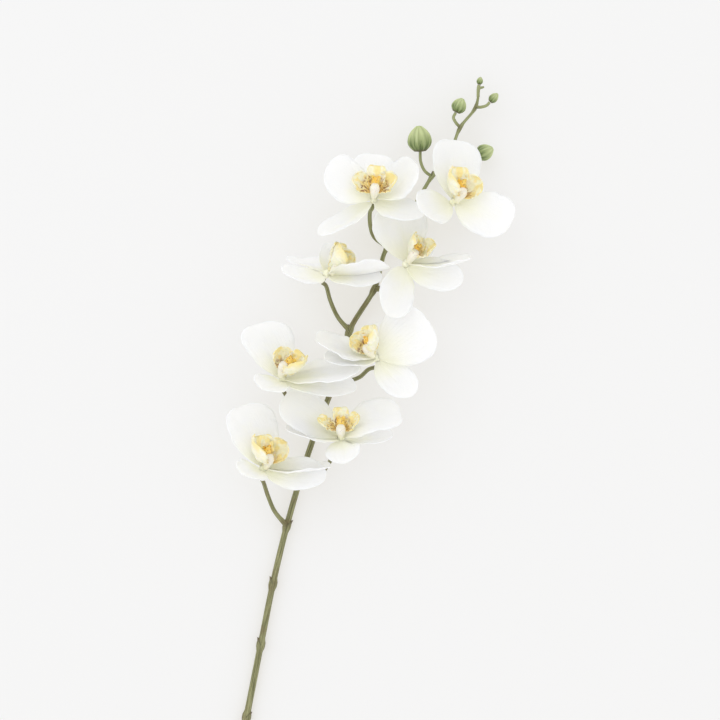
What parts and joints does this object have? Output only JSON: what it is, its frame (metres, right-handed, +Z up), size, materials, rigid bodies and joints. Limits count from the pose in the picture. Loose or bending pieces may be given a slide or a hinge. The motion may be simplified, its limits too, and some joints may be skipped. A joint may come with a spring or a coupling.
{
  "type": "moth orchid stem",
  "caption": "Arching cut stem of white moth orchid lying down, with open blooms, yellow lips and green buds towards the tip",
  "frame": {"origin": "middle of the bounding box, level with the surface that the stem lies on", "axes": "+Y along the stalk from its cut end towards the buds, +Z up from the surface, +X to the right seen from above"},
  "size_m": [0.1832, 0.6934, 0.0823],
  "materials": {
    "petal_white": "matte",
    "lip_yellow": "satin",
    "column_cream": "satin",
    "stalk_green": "matte",
    "bud_green": "matte"
  },
  "bodies": {
    "root": {"stalk": "stalk_green", "bloom_1_tepals": "petal_white", "bloom_1_lip": "lip_yellow", "bloom_1_column": "column_cream", "bloom_2_tepals": "petal_white", "bloom_2_lip": "lip_yellow", "bloom_2_column": "column_cream", "bloom_3_tepals": "petal_white", "bloom_3_lip": "lip_yellow", "bloom_3_column": "column_cream", "bloom_4_tepals": "petal_white", "bloom_4_lip": "lip_yellow", "bloom_4_column": "column_cream", "bloom_5_tepals": "petal_white", "bloom_5_lip": "lip_yellow", "bloom_5_column": "column_cream", "bloom_6_tepals": "petal_white", "bloom_6_lip": "lip_yellow", "bloom_6_column": "column_cream", "bloom_7_tepals": "petal_white", "bloom_7_lip": "lip_yellow", "bloom_7_column": "column_cream", "bloom_8_tepals": "petal_white", "bloom_8_lip": "lip_yellow", "bloom_8_column": "column_cream", "bud_1": "bud_green", "bud_2": "bud_green", "bud_3": "bud_green", "bud_4": "bud_green", "bud_5": "bud_green"}
  },
  "joints": []
}
